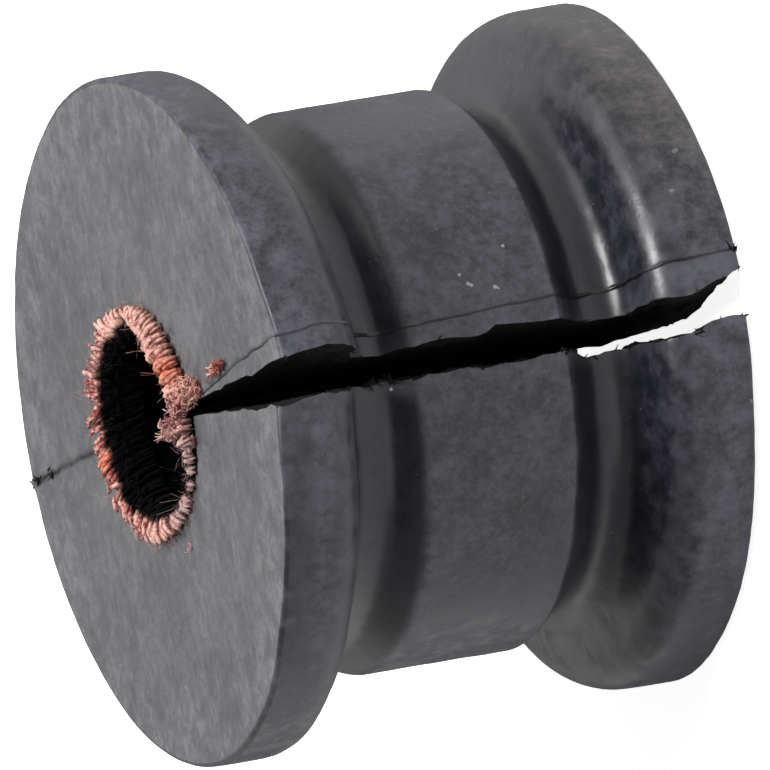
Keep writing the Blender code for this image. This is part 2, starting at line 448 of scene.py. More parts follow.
@dataclass
class Sprung:
    """How the split moulding has sprung out of round, in millimetres by angle in degrees.

    Rises lift a flange towards +Z, and swells push it outwards.
    """

    section: SpoolSection
    upper_rise: Stations = (
        (0.0, -0.75), (4.0, -0.7), (18.0, -0.35), (42.0, -0.3), (90.0, -0.1), (176.0, 0.0),
        (268.0, 0.0), (296.0, 0.35), (318.0, 0.9), (348.0, 0.9), (356.0, 0.55),
    )  # fmt: skip
    upper_swell: Stations = (
        (16.0, 0.0), (45.0, -0.3), (86.0, -0.4), (112.0, -0.1), (140.0, 0.15), (178.0, 0.2), (240.0, 0.0),
    )  # fmt: skip
    upper_thinning: Stations = (
        (0.0, 0.0), (30.0, 0.15), (62.0, 0.85), (100.0, 0.35), (130.0, 0.0), (270.0, 0.0), (296.0, 0.35),
        (330.0, 0.0),
    )  # fmt: skip
    lower_rise: Stations = (
        (20.0, 0.0), (60.0, 0.2), (100.0, 0.0), (262.0, 0.0), (300.0, 0.3), (330.0, 0.5), (356.0, 0.25),
    )  # fmt: skip
    lower_swell: Stations = (
        (20.0, 0.0), (60.0, -0.35), (90.0, -0.35), (140.0, -0.1), (176.0, 0.0), (226.0, -0.4),
        (266.0, -0.75), (312.0, -0.8), (336.0, -0.65), (356.0, -0.25), (360.0, 0.0),
    )  # fmt: skip

    def move(self, points: np.ndarray) -> np.ndarray:
        """Move points as the flanges have moved.

        Args:
            points: Positions on the moulding in its round state.

        Returns:
            The positions, each flange's movement fading out in the waist and at the bore.
        """
        radius, angle, height = polar(points)
        degrees = np.degrees(angle)
        upper = ease(height, 33.0 * MM, 39.0 * MM)
        back = upper * (1.0 - ease(height, 41.5 * MM, 45.5 * MM))
        lower = 1.0 - ease(height, 10.0 * MM, 16.0 * MM)
        face = 1.0 - ease(height, 1.0 * MM, 9.0 * MM)
        rise = upper * soft_curve(degrees, self.upper_rise) + back * soft_curve(degrees, self.upper_thinning)
        rise += face * soft_curve(degrees, self.lower_rise)
        swell = upper * soft_curve(degrees, self.upper_swell) + lower * soft_curve(degrees, self.lower_swell)
        outside = ease(radius, 12.0 * MM, 30.0 * MM)
        return around(radius + MM * swell * outside, angle, height + MM * rise * outside)


@dataclass
class RubberBody:
    """The moulded rubber: its skin, end faces, cut faces, parting lines and unevenness."""

    section: SpoolSection
    split: Split
    lines: PartingLines
    sprung: Sprung
    columns: int = 330
    rings: int = 18
    swell: float = 0.028 * MM
    swell_size: float = 15.0 * MM
    ripple: float = 0.012 * MM
    ripple_size: float = 2.2 * MM
    torn: float = 0.10 * MM
    torn_size: float = 1.1 * MM
    finishes: list[bpy.types.Material] = field(default_factory=list)
    anchors: tuple[float, float, float, float] = (0.0, 0.03, 0.51, 1.0)
    # Angles, in degrees, at which a band of the upper rim a little below its face edge is made darker by
    # thinning its dust.
    darker_rim_band: Stations = ((296.0, 0.0), (312.0, 0.8), (345.0, 0.8), (356.0, 0.3))

    def shares(self) -> np.ndarray:
        """Share out the columns round the body, closer together at the cut and the lines.

        Returns:
            Shares from 0 to 1, whose density is one plus a bell curve at each anchor.
        """
        fine = np.linspace(0.0, 1.0, 20001)
        density = np.ones_like(fine)
        bells = ((7.0, 0.006), (9.0, 0.003), (9.0, 0.003), (7.0, 0.006))
        for centre, (weight, width) in zip(self.anchors, bells):
            density += weight * np.exp(-(((fine - centre) / width) ** 2))
        total = np.concatenate([[0.0], np.cumsum((density[1:] + density[:-1]) / 2)])
        shares = np.interp(np.linspace(0.0, 1.0, self.columns + 1), total / total[-1], fine)
        nearest = [int(np.argmin(np.abs(shares - anchor))) for anchor in self.anchors]
        shares[nearest] = self.anchors
        return shares

    def place(self, radius: np.ndarray, height: np.ndarray, share: np.ndarray) -> np.ndarray:
        """Put points on the body.

        Args:
            radius: Distance from the axis.
            height: Height above the lower face.
            share: How far round, with the anchors on the cut's faces and parting lines.

        Returns:
            The positions, whose angles go evenly from each anchor to the next.
        """
        first, second = self.split.angles(radius, height)
        stops = [second, *self.lines.angles(radius, height, second), first + math.tau]
        angle = second + 0.0 * share
        for index in range(len(stops) - 1):
            low, high = self.anchors[index], self.anchors[index + 1]
            part = np.clip((share - low) / (high - low), 0.0, 1.0)
            angle = angle + part * (stops[index + 1] - stops[index])
        return around(radius, angle, height)

    def patches(self) -> list[tuple[np.ndarray, np.ndarray, Patch]]:
        """Work out the body's surfaces as grids that share their edges.

        Returns:
            Positions, how far round each point lies, and the kind of surface.
        """
        path = self.section.outline()
        radius, height = path[:, :1], path[:, 1:]
        shares = self.shares()[None, :]
        inwards = np.linspace(0.0, 1.0, self.rings + 1)
        slab = self.section.bore_radius + (radius - self.section.bore_radius) * inwards
        sheets = [
            (radius, height, shares, Patch.SKIN),
            (np.full_like(radius, self.section.bore_radius), height, shares, Patch.CUT),
            (slab, height, np.zeros_like(slab), Patch.CUT),
            (slab, height, np.ones_like(slab), Patch.CUT),
            (slab[0][:, None], np.full_like(slab[0][:, None], height[0, 0]), shares, Patch.END),
            (slab[-1][:, None], np.full_like(slab[-1][:, None], height[-1, 0]), shares, Patch.END),
        ]
        found = []
        for sheet_radius, sheet_height, share, kind in sheets:
            points = self.place(sheet_radius, sheet_height, share)
            found.append((points, np.broadcast_to(share, points.shape[:2]), kind))
        return found

    def marks(self, points: np.ndarray, share: np.ndarray) -> dict[str, np.ndarray]:
        """Work out what the materials and the relief need to know about each point.

        Args:
            points: Positions on the undisturbed surface.
            share: How far round each point lies.

        Returns:
            Marks from 0 to 1: line on a parting line, whose dark colour is partly the flash's own
            and partly painted shadow of its ridge; lip beside the cut; edge on corners that are
            lightened, partly worn and partly as painted edge highlights; pit where the dust is thinned
            and the rubber shows darker, in the grooves and on the lower flange's wall partly as
            cleaner rubber and partly as painted shade, and in a band of the upper rim; brown where
            the dust is browner; and outside away from the bore.
        """
        radius, angle, height = polar(points)
        section, degrees = self.section, np.degrees(angle)
        step = (self.anchors[2] - self.anchors[1]) / np.radians(176.5)
        near = np.exp(-((((share - self.anchors[1]) * radius / step) / self.lines.near_width) ** 2))
        far = np.exp(-((((share - self.anchors[2]) * radius / step) / self.lines.far_width) ** 2))
        depth = section.length / 2 - np.abs(height - section.length / 2)
        skin = ease(depth, 0.0, 0.04 * MM)
        # The rims' face corners and the land's edges are lightened: partly worn, partly painted edge
        # highlights.
        rim = ease(radius, section.flange_radius - 1.2 * MM, section.flange_radius - 0.1 * MM)
        corner = rim * (1.0 - ease(depth, 0.15 * MM, 0.8 * MM))
        land = ease(radius, section.groove_radius + 2.1 * MM, section.groove_radius + 2.45 * MM)
        land *= 0.7 * (1.0 - ease(depth, 17.0 * MM, 18.2 * MM))
        cut = np.minimum(share, 1.0 - share) / step * radius
        strip = 0.6 * (1.0 - ease(share, self.anchors[1] - 0.004, self.anchors[1]))
        # waist and wall thin the dust in the grooves and on the lower flange's wall, so these show darker:
        # partly cleaner rubber, partly painted shade of the recesses.
        waist = ease(depth, 3.6 * MM, 8.5 * MM) * (1.0 - ease(depth, 15.9 * MM, 17.2 * MM))
        wall = 0.95 * (1.0 - ease(radius, 32.0 * MM, 33.5 * MM)) * ease(depth, 3.5 * MM, 6.0 * MM)
        wall *= 1.0 - ease(height, 10.0 * MM, 14.0 * MM)
        # A band of the upper rim below its face edge is darkened the same way.
        darker_rim_band = soft_curve(degrees, self.darker_rim_band) * ease(height, 44.5 * MM, 46.5 * MM)
        brown = ease(points[:, 0], 4.0 * MM, 22.0 * MM) * (1.0 - ease(height, 6.5 * MM, 10.0 * MM))
        return {
            "line": np.maximum(near, far),
            "lip": np.maximum(1.0 - ease(cut, 0.1 * MM, 2.0 * MM), strip),
            "edge": np.clip(corner + land, 0.0, 1.0),
            "pit": skin * np.maximum(np.maximum(waist, wall), darker_rim_band),
            "brown": brown,
            "outside": ease(radius, section.bore_radius + 0.8 * MM, section.bore_radius + 2.0 * MM),
        }

    def relief(self, points: np.ndarray, marks: dict[str, np.ndarray], cut: np.ndarray) -> np.ndarray:
        """Work out the fine height of the surface along its normal.

        Two noises give the unevenness of a moulding and a third the torn look of the cut. A
        ridge of bell section, uneven in height, stands along each parting line of the skin;
        on the end faces the line is a shallow groove.

        Args:
            points: Positions on the undisturbed surface.
            marks: The marks of the points.
            cut: 1 on the cut faces and 0 elsewhere.

        Returns:
            Heights in metres.
        """
        half = self.section.length / 2
        flat = ease(np.abs(points[:, 2] - half), half - 0.06 * MM, half - 0.01 * MM)
        uneven = np.clip(0.7 + 0.4 * wave_noise(points, 2.6 * MM, 21), 0.1, 1.7)
        ridge = self.lines.height * (uneven * (1.0 - flat) - 0.4 * flat)
        height = self.swell * wave_noise(points, self.swell_size, 22) * (1.0 - 0.7 * flat)
        height += self.ripple * wave_noise(points, self.ripple_size, 23, 30)
        height += cut * self.torn * wave_noise(points, self.torn_size, 24, 30)
        return marks["outside"] * (height + marks["line"] * ridge * (1.0 - cut))

    def build(self) -> bpy.types.Object:
        """Make the body's mesh, weld its surfaces, raise its relief and let it spring."""
        points, shares, faces, kinds = [], [], [], []
        count = 0
        for sheet, share, kind in self.patches():
            quads = grid_quads(*sheet.shape[:2])
            faces.append(quads + count)
            kinds.append(np.full(len(quads), kind.value))
            points.append(sheet.reshape(-1, 3))
            shares.append(share.reshape(-1))
            count += sheet.shape[0] * sheet.shape[1]
        piece = new_mesh("moulded_body", np.concatenate(points), np.concatenate(faces).tolist())
        mesh = piece.data
        mesh.polygons.foreach_set("material_index", np.concatenate(kinds).astype(np.int32))
        store(mesh, "share", np.concatenate(shares))
        shape = bmesh.new()
        shape.from_mesh(mesh)
        bmesh.ops.remove_doubles(shape, verts=shape.verts, dist=0.002 * MM)
        bmesh.ops.recalc_face_normals(shape, faces=shape.faces)
        slabs, skin = set(), set()
        for face in shape.faces:
            kind = slabs if face.material_index == Patch.CUT.value else skin
            kind.update(vertex.index for vertex in face.verts)
        shape.to_mesh(mesh)
        shape.free()
        base = read_vectors(mesh.vertices, "co")
        share = np.empty(len(base), dtype=np.float32)
        mesh.attributes["share"].data.foreach_get("value", share)
        cut = np.zeros(len(base))
        cut[list(slabs - skin)] = 1.0
        marks = self.marks(base, share.astype(float))
        height = self.relief(base, marks, cut)
        normals = read_vectors(mesh.vertex_normals, "vector")
        move_points(mesh, self.sprung.move(base + normals * height[:, None]))
        for name, values in marks.items():
            store(mesh, name, values)
        for finish in self.finishes:
            mesh.materials.append(finish)
        mesh.set_sharp_from_angle(angle=math.radians(50.0))
        return piece


@dataclass
class Shreds:
    """Torn bits of rubber that stand out of the lips of the cut and of the flash's ends.

    Nubs are places of thicker tears, by angle in degrees, and depth and radius in mm.
    """

    section: SpoolSection
    split: Split
    sprung: Sprung
    count: int = 150
    stations: int = 6
    nubs: tuple[tuple[float, float, float], ...] = (
        (7.6, 48.3, 33.5), (182.4, 0.4, 33.5), (182.4, 0.1, 31.5), (182.6, 0.1, 28.0), (-4.2, 13.0, 25.0),
        (-4.3, 14.6, 25.4), (-4.6, 43.5, 33.4), (-4.3, 31.8, 27.1),
    )  # fmt: skip
    bits: int = 9

    def build(self) -> bpy.types.Object:
        """Make the bits: short tapered strands that start on the skin and bend."""
        random = np.random.default_rng(31)
        path = self.section.outline()
        pick = random.integers(4, len(path) - 4, self.count)
        first, second = self.split.angles(path[pick, 0], path[pick, 1])
        near = random.random(self.count) < 0.4
        inside = np.where(near, 0.12, -0.12) * MM / path[pick, 0]
        lips = around(path[pick, 0] - 0.15 * MM, np.where(near, second, first) + inside, path[pick, 1])
        nubs = np.repeat(np.array(self.nubs), self.bits, axis=0)
        knots = around(nubs[:, 2] * MM, np.radians(nubs[:, 0]), self.section.length - nubs[:, 1] * MM)
        start = np.concatenate([lips, knots + random.normal(0.0, 0.22 * MM, knots.shape)])
        across = np.concatenate([np.where(near, -1.0, 1.0), np.zeros(len(knots))])[:, None]
        total = len(start)
        outward = unit(start * np.array([1.0, 1.0, 0.0]))
        into_gap = across * np.cross(np.array([0.0, 0.0, 1.0]), outward)
        away = 0.6 * into_gap + outward * random.normal(0.6, 0.4, (total, 1))
        away = unit(away + random.normal(0.0, 0.4, (total, 3)))
        thick = np.concatenate([np.full(self.count, 1.0), np.full(len(knots), 1.5)])[:, None]
        reach = random.gamma(2.0, 0.13, (total, 1)) * MM * thick
        t = np.linspace(0.0, 1.0, self.stations)
        bend = random.normal(0.0, 0.5, (total, 3)) * reach
        paths = bent_paths(start, away * reach, bend, t)
        radii = random.uniform(0.06, 0.14, (total, 1)) * MM * thick * (1.0 - 0.7 * t)
        return Strands(sides=6).build("torn_shreds", self.sprung.move(paths), radii)


@dataclass
class WovenLiner:
    """The sleeve bonded in the bore, and the yarn ends and fibres that stand at its mouth.

    Stations give the angle in degrees, and in millimetres how far from the axis the mouth
    reaches and how high it stands above the end face.
    """

    section: SpoolSection
    split: Split
    clearance: float = 0.3 * MM
    wall: float = 1.1 * MM
    recess: float = 0.5 * MM
    yarns: int = 60
    threads: int = 6
    thread_radius: float = 0.27 * MM
    bundle: float = 0.45 * MM
    weave_depth: float = 0.14 * MM
    weft_step: float = 1.6 * MM
    hang: float = 0.7 * MM
    mouth_reach: Stations = (
        (0.0, 10.2), (18.0, 10.7), (37.0, 10.8), (56.0, 10.9), (86.0, 11.1), (110.0, 11.35), (150.0, 11.6),
        (225.0, 11.6), (265.0, 11.4), (291.0, 10.9), (314.0, 10.6), (334.0, 10.5), (351.0, 10.2),
    )  # fmt: skip
    mouth_rise: Stations = (
        (0.0, 2.1), (18.0, 2.7), (37.0, 3.3), (56.0, 2.5), (86.0, 1.2), (110.0, 1.6), (150.0, 2.1),
        (175.0, 1.6), (220.0, 1.4), (265.0, 1.5), (291.0, 0.9), (314.0, 0.6), (328.0, 0.9), (340.0, 2.0),
        (351.0, 2.6),
    )  # fmt: skip
    crowding: Stations = ((60.0, 1.0), (110.0, 1.8), (240.0, 1.8), (290.0, 1.0))
    mouth_fold: Stations = ((62.0, 1.0), (100.0, 0.0), (265.0, 0.0), (291.0, 1.0))
    tidy: Stations = ((4.0, 0.2), (12.0, 0.95), (62.0, 0.95), (90.0, 0.3), (120.0, 0.0), (360.0, 0.0))
    # Tone by angle: partly the yarns' own pale and deep colours, and partly painted shade and highlight.
    depth_of_tone: Stations = (
        (0.0, 0.3), (20.0, 0.05), (50.0, 0.0), (80.0, 0.0), (108.0, 0.1), (130.0, 0.75), (170.0, 0.75),
        (200.0, 0.65), (228.0, 0.5), (248.0, 0.8), (264.0, 0.15), (310.0, 0.2), (350.0, 0.4),
    )  # fmt: skip
    orange: tuple[tuple[float, float], ...] = ((21.0, 8.0), (193.0, 6.0))
    greyed: Stations = ((275.0, 0.0), (295.0, 0.65), (335.0, 0.65), (350.0, 0.2))
    stain: Stations = ((60.0, 0.0), (100.0, 0.4), (130.0, 0.75), (215.0, 0.75), (262.0, 0.1))

    def span(self) -> tuple[float, float]:
        """Return the angles at which the mouth starts and ends, in radians."""
        return math.radians(5.5), math.radians(351.5)

    def mouth(
        self, angle: np.ndarray, share: np.ndarray, scale: np.ndarray, lift: np.ndarray
    ) -> tuple[np.ndarray, np.ndarray]:
        """Follow the mouth's flare from inside the bore, over its edge, to the yarns' tips.

        The curve is a cubic with four guide points, in a plane through the axis: each point
        counts by its share (1-t)^3, 3t(1-t)^2, 3t^2(1-t) or t^3.

        Args:
            angle: Where round the axis.
            share: How far along the curve.
            scale: How much further than the stations each yarn reaches outwards.
            lift: How much higher each yarn rises.

        Returns:
            Radius and height.
        """
        degrees = np.degrees(angle) % 360.0
        top = self.section.length
        inner = self.section.bore_radius - self.clearance - 0.72 * MM
        reach = inner + (MM * soft_curve(degrees, self.mouth_reach) - inner) * scale
        rise = MM * soft_curve(degrees, self.mouth_rise) * lift
        fold = soft_curve(degrees, self.mouth_fold)
        droop = rise * (0.7 - 0.6 * fold)
        t = share
        weights = ((1 - t) ** 3, 3 * t * (1 - t) ** 2, 3 * t**2 * (1 - t), t**3)
        radii = (inner, inner, inner + 0.2 * (reach - inner), reach)
        levels = (top - 3.0 * MM, top - 0.2 * MM, top + (1.1 + 0.4 * fold) * rise, top + droop)
        radius = sum(weight * value for weight, value in zip(weights, radii))
        return radius, sum(weight * value for weight, value in zip(weights, levels))

    def cleanness(self, points: np.ndarray) -> np.ndarray:
        """Work out where the bore's black compound has not stained the yarn, from 0 to 1."""
        radius, angle, height = polar(points)
        out = height - self.section.length + 0.9 * (radius - 9.3 * MM)
        out = out - MM * soft_curve(np.degrees(angle), self.stain)
        return ease(out + 0.2 * MM * wave_noise(points, 2.3 * MM, 41), 0.9 * MM, 1.6 * MM)

    def finish(
        self, piece: bpy.types.Object, tone: np.ndarray, bare: float | np.ndarray = 0.0
    ) -> bpy.types.Object:
        """Store the marks that the yarn materials read.

        Args:
            piece: The piece, which stands or lies at the mouth.
            tone: From 0, pale, to 1, deep, for each of its points.
            bare: How far each point is free of the stain wherever it lies.

        Returns:
            The same piece.
        """
        points = read_vectors(piece.data.vertices, "co")
        degrees = np.degrees(polar(points)[1])
        hue = sum(np.exp(-(((degrees - centre) / width) ** 2)) for centre, width in self.orange)
        store(piece.data, "tone", tone)
        store(piece.data, "hue", hue)
        store(piece.data, "grey", soft_curve(degrees, self.greyed))
        store(piece.data, "clean", np.maximum(self.cleanness(points), bare))
        return piece

    def sleeve(self) -> bpy.types.Object:
        """Make the sleeve: the bore's wall with warp and weft standing out as a plain weave.

        The height of the weave is depth * sin(yarns * angle) * sin(pi * height / weft step),
        so warp and weft pass over each other in turn. On the +X side of the cut its ragged
        edge hangs out of the wall.

        Returns:
            The sleeve as a closed shell.
        """
        columns, rows = 300, 72
        share = np.linspace(0.0, 1.0, columns + 1)[None, :]
        height = np.linspace(self.recess, self.section.length - 0.1 * MM, rows + 1)[:, None]
        outer = self.section.bore_radius - self.clearance
        inner = outer - self.wall
        first, second = self.split.angles(np.full_like(height, inner), height)
        place = np.concatenate([height, 0.0 * height, 0.0 * height], axis=1)
        ragged = (0.85 + 0.15 * wave_noise(place, 1.9 * MM, 42))[:, None] * ease(height, -2.0 * MM, 8.0 * MM)
        second = second - self.hang / inner * ragged
        angle = second + share * (first + math.tau - second)
        weave = np.sin(self.yarns * angle) * np.sin(math.pi * height / self.weft_step)
        inside = around(inner + self.weave_depth * (1.0 - weave), angle, height)
        outside = around(np.full_like(angle, outer), angle, height)
        count = inside.shape[0] * inside.shape[1]
        inward = grid_quads(*inside.shape[:2])
        index = np.arange(count).reshape(inside.shape[:2])
        border = np.concatenate([index[0], index[1:, -1], index[-1, -2::-1], index[-2:0:-1, 0]])
        following = np.roll(border, -1)
        rim = np.stack([border, border + count, following + count, following], axis=1)
        faces = np.concatenate([inward[:, ::-1], inward + count, rim])
        piece = new_mesh("liner_sleeve", np.stack([inside, outside]), faces.tolist())
        beside = 1.0 - ease(share * math.tau * inner, 0.0, 0.5 * MM)
        torn = 0.5 * beside * ease(self.section.length - height, 0.0, 6.0 * MM)
        points = read_vectors(piece.data.vertices, "co")
        tone = 0.8 + 0.2 * wave_noise(points, 1.4 * MM, 43)
        return self.finish(piece, tone, np.tile(torn.ravel(), 2))

    def yarn_ends(self) -> bpy.types.Object:
        """Make the yarn ends that rise out of the mouth, each a bundle of twisted threads.

        A thread's path is the mouth's curve at its yarn's angle, plus a turn round it:
        reach * cos(spin) along the mouth and reach * sin(spin) square to it. The spin grows
        along the yarn, and where the yarn is not tidy the reach grows too, as it frays.

        Returns:
            All yarn ends as one mesh.
        """
        random = np.random.default_rng(5)
        shape = (self.yarns, self.threads, 1)
        low, high = self.span()
        place = (np.arange(self.yarns) + 0.5 + random.uniform(-0.12, 0.12, self.yarns)) / self.yarns
        fine = np.linspace(low, high, 721)
        total = np.cumsum(soft_curve(np.degrees(fine), self.crowding))
        start = np.interp(place, (total - total[0]) / (total[-1] - total[0]), fine)[:, None, None]
        tidy = soft_curve(np.degrees(start), self.tidy)
        wild = 1.0 - tidy
        t = np.linspace(0.0, 1.0, 17)[None, None, :]
        scale = 1.0 + wild * random.uniform(-0.14, 0.05, (self.yarns, 1, 1))
        scale = scale + 0.07 * wild * random.normal(0.0, 1.0, shape)
        lift = 1.0 + (0.05 + 0.12 * wild) * random.normal(0.0, 1.0, (self.yarns, 1, 1))
        lift = lift + 0.3 * wild * random.uniform(-1.0, 0.4, shape)
        radius, height = self.mouth(start + 0.0 * t, t, scale, lift)
        slope = np.stack([np.gradient(radius, axis=2), np.gradient(height, axis=2)])
        slope = slope / np.hypot(*slope)
        spin = math.tau * np.arange(self.threads)[None, :, None] / self.threads
        spin = spin + random.uniform(0.0, math.tau, (self.yarns, 1, 1)) + (2.5 + 2.0 * tidy) * t
        thin = 1.0 - 0.6 * soft_curve(np.degrees(start), self.greyed)
        reach = thin * self.bundle * (1.0 + wild * (0.3 * t**2 + random.uniform(-0.3, 0.3, shape)))
        radius = radius + reach * np.sin(spin) * slope[1]
        height = height - reach * np.sin(spin) * slope[0]
        bend = wild * random.normal(0.0, 0.05, shape) * t**2
        angle = start + bend + (1.9 - 1.1 * tidy) * reach * np.cos(spin) / radius
        thick = self.thread_radius * random.uniform(0.75, 1.15, shape) * (0.5 + 0.5 * thin)
        tip = np.sqrt(1.0 - np.clip((t - 0.87) / 0.13, 0.0, 0.9) ** 2)
        lumps = 1.0 + 0.1 * np.sin(17.0 * t + random.uniform(0.0, math.tau, shape))
        tone = soft_curve(np.degrees(start), self.depth_of_tone) + random.normal(0.0, 0.14, shape)
        tone = tone + random.normal(0.0, 0.13, (self.yarns, 1, 1)) + 0.0 * t
        paths = around(radius, angle, height).reshape(-1, t.size, 3)
        strands = Strands(sides=6, plies=2, ply_depth=0.12, turns=2.5)
        piece = strands.build("yarn_ends", paths, (thick * tip * lumps).reshape(-1, t.size))
        return self.finish(piece, strands.spread(np.clip(tone, 0.0, 1.0).reshape(-1, t.size)))

    def binding(self) -> bpy.types.Object:
        """Make the thin threads that bind the yarn ends.

        Each follows the mouth at one share of its flare, and passes from side to side of
        the yarns by a sine of half as many waves as there are yarns.

        Returns:
            The binding threads as one mesh.
        """
        stations = 420
        low, high = self.span()
        angle = np.linspace(low, high, stations)[None, :]
        share = np.array([[0.38], [0.5]])
        radius, height = self.mouth(angle, share, np.ones_like(angle), np.ones_like(angle))
        wave = np.array([[1.0], [-1.0]]) * np.sin(self.yarns / 2 * (angle - low) * math.tau / (high - low))
        strands = Strands(sides=8, plies=2, ply_depth=0.12, turns=120.0)
        paths = around(radius + 0.75 * MM * wave, angle, height + 0.1 * MM * wave)
        piece = strands.build("binding_threads", paths, np.full(wave.shape, 0.22 * MM))
        return self.finish(piece, strands.spread(0.6 + 0.2 * wave))

    def fibres(self) -> bpy.types.Object:
        """Make the short curly fibres that stand out of the yarn ends.

        Returns:
            All the fibres as one mesh.
        """
        random = np.random.default_rng(8)
        count, stations = 3600, 5
        low, high = self.span()
        angle = random.uniform(low - 0.05, high + 0.03, (count, 1))
        share = random.uniform(0.5, 1.0, (count, 1))
        radius, height = self.mouth(angle, share, np.ones_like(angle), np.ones_like(angle))
        spin = random.uniform(0.0, math.tau, (count, 1))
        radius = radius + 0.7 * MM * np.cos(spin)
        height = height + 0.6 * MM * np.sin(spin)
        start = around(radius, angle, height)[:, 0]
        away = unit(around(np.cos(spin), angle, np.sin(spin))[:, 0] + random.normal(0.0, 0.9, (count, 3)))
        length = random.gamma(2.0, 0.14, (count, 1)) * MM
        curl = random.normal(0.0, 0.9, (count, 3)) * length
        t = np.linspace(0.0, 1.0, stations)
        paths = bent_paths(start, away * length, curl, t)
        paths[..., 2] = np.maximum(paths[..., 2], self.section.length + 0.05 * MM)
        thick = random.uniform(0.015, 0.035, (count, 1)) * MM
        strands = Strands(sides=3)
        piece = strands.build("loose_fibres", paths, thick * (1.0 - 0.5 * t))
        return self.finish(piece, strands.spread(random.uniform(0.0, 1.0, (count, 1)) + 0.0 * t))


@dataclass(frozen=True)
class Tangle:
    """A small clump of loose yarn: where it lies, how far it spreads and its strands."""

    angle: float
    radius: float
    height: float
    spread: tuple[float, float, float]
    strands: int
    thickness: float
    tone: float
    seed: int

    def paths(self, stations: int, top: float) -> tuple[np.ndarray, np.ndarray]:
        """Work out the strands' paths.

        Each is centre + offset + a straight run with a helix of random size wound on it.

        Args:
            stations: Points along each strand.
            top: Height of the end face, which the strands stay above.

        Returns:
            Positions, as strands x stations x 3, and radii, as strands x stations.
        """
        random = np.random.default_rng(self.seed)
        count = self.strands
        centre = around(self.radius * MM, math.radians(self.angle), top + self.height * MM)
        out = around(1.0, math.radians(self.angle), 0.0)
        frame = np.stack([out, np.cross([0.0, 0.0, 1.0], out), [0.0, 0.0, 1.0]])
        spread = np.array(self.spread) * MM
        t = np.linspace(0.0, 1.0, stations)[None, :, None]
        offset = random.normal(0.0, 0.45, (count, 1, 3)) * spread
        run = unit(random.normal(0.0, 1.0, (count, 1, 3))) * spread * (t - 0.5) * 1.8
        size = random.uniform(0.15, 0.5, (count, 1, 1)) * spread.mean()
        phase = random.uniform(0.0, math.tau, (count, 1, 3))
        rate = random.uniform(3.0, 9.0, (count, 1, 1))
        curl = size * np.sin(rate * t + phase)
        paths = centre + (offset + run + curl) @ frame
        paths[..., 2] = np.maximum(paths[..., 2], top + self.thickness * MM)
        taper = 1.0 - 0.6 * (2.0 * t[..., 0] - 1.0) ** 4
        return paths, self.thickness * MM * random.uniform(0.5, 1.2, (count, 1)) * taper


TANGLES = (
    Tangle(6.8, 11.5, 0.9, (1.4, 0.9, 0.7), 240, 0.065, 0.3, 51),
    Tangle(5.5, 13.2, 0.45, (0.9, 0.7, 0.35), 80, 0.055, 0.5, 57),
    Tangle(1.0, 10.2, 1.3, (0.7, 0.8, 0.8), 100, 0.08, 0.6, 52),
    Tangle(-9.0, 9.3, 1.5, (0.5, 0.8, 1.1), 100, 0.09, 0.75, 53),
    Tangle(-14.0, 8.9, 1.8, (0.4, 0.6, 1.0), 80, 0.09, 0.05, 58),
    Tangle(7.9, 18.4, 0.25, (0.7, 0.35, 0.3), 60, 0.07, 0.35, 54),
    Tangle(8.1, 20.0, 0.25, (0.6, 0.35, 0.4), 60, 0.07, 1.0, 59),
    Tangle(7.0, 15.8, 0.12, (3.2, 0.18, 0.1), 4, 0.06, 1.0, 55),
    Tangle(184.0, 13.6, 0.2, (0.4, 0.4, 0.3), 12, 0.04, 0.0, 60),
    Tangle(227.0, 13.0, 0.2, (0.5, 1.2, 0.2), 12, 0.03, 0.0, 61),
    Tangle(286.0, 13.2, 0.2, (0.4, 0.6, 0.2), 10, 0.03, 0.0, 62),
)


@dataclass
class Clumps:
    """The tangled clumps of yarn where the cut has torn the liner."""

    section: SpoolSection
    liner: WovenLiner
    stations: int = 10

    def build(self) -> bpy.types.Object:
        """Make all the clumps as one mesh."""
        found = [tangle.paths(self.stations, self.section.length) for tangle in TANGLES]
        paths, radii = (np.concatenate(parts) for parts in zip(*found))
        tone = np.repeat([tangle.tone for tangle in TANGLES], [tangle.strands for tangle in TANGLES])
        tone = tone + np.random.default_rng(56).normal(0.0, 0.18, len(tone))
        strands = Strands(sides=4)
        piece = strands.build("torn_yarn", paths, radii)
        tone = np.clip(tone, 0.0, 1.0)[:, None] * np.ones((1, self.stations))
        return self.liner.finish(piece, strands.spread(tone))


@dataclass(frozen=True)
class RubberFinish:
    """A rubber surface: its colours, its dust and how it shines."""

    name: str
    colour: tuple[float, float, float]
    dust_colour: tuple[float, float, float]
    dust: float
    roughness: float
    gloss: float
    grain: float
    streaks: float
    stretch: tuple[float, float, float]


@dataclass(frozen=True)
class ClothFinish:
    """A yarn surface: pale, deep, orange, greyed and stained colours, and its fuzz."""

    name: str
    pale: tuple[float, float, float]
    deep: tuple[float, float, float]
    bright: tuple[float, float, float]
    greyed: tuple[float, float, float]
    stained: tuple[float, float, float]
    fuzz: float


SKIN_FINISH = RubberFinish(
    name="moulded_rubber",
    colour=(0.006, 0.0068, 0.0105),
    dust_colour=(0.088, 0.088, 0.110),
    dust=0.78,
    roughness=0.29,
    gloss=0.4,
    grain=0.5,
    streaks=0.3,
    stretch=(1.0, 1.0, 0.3),
)
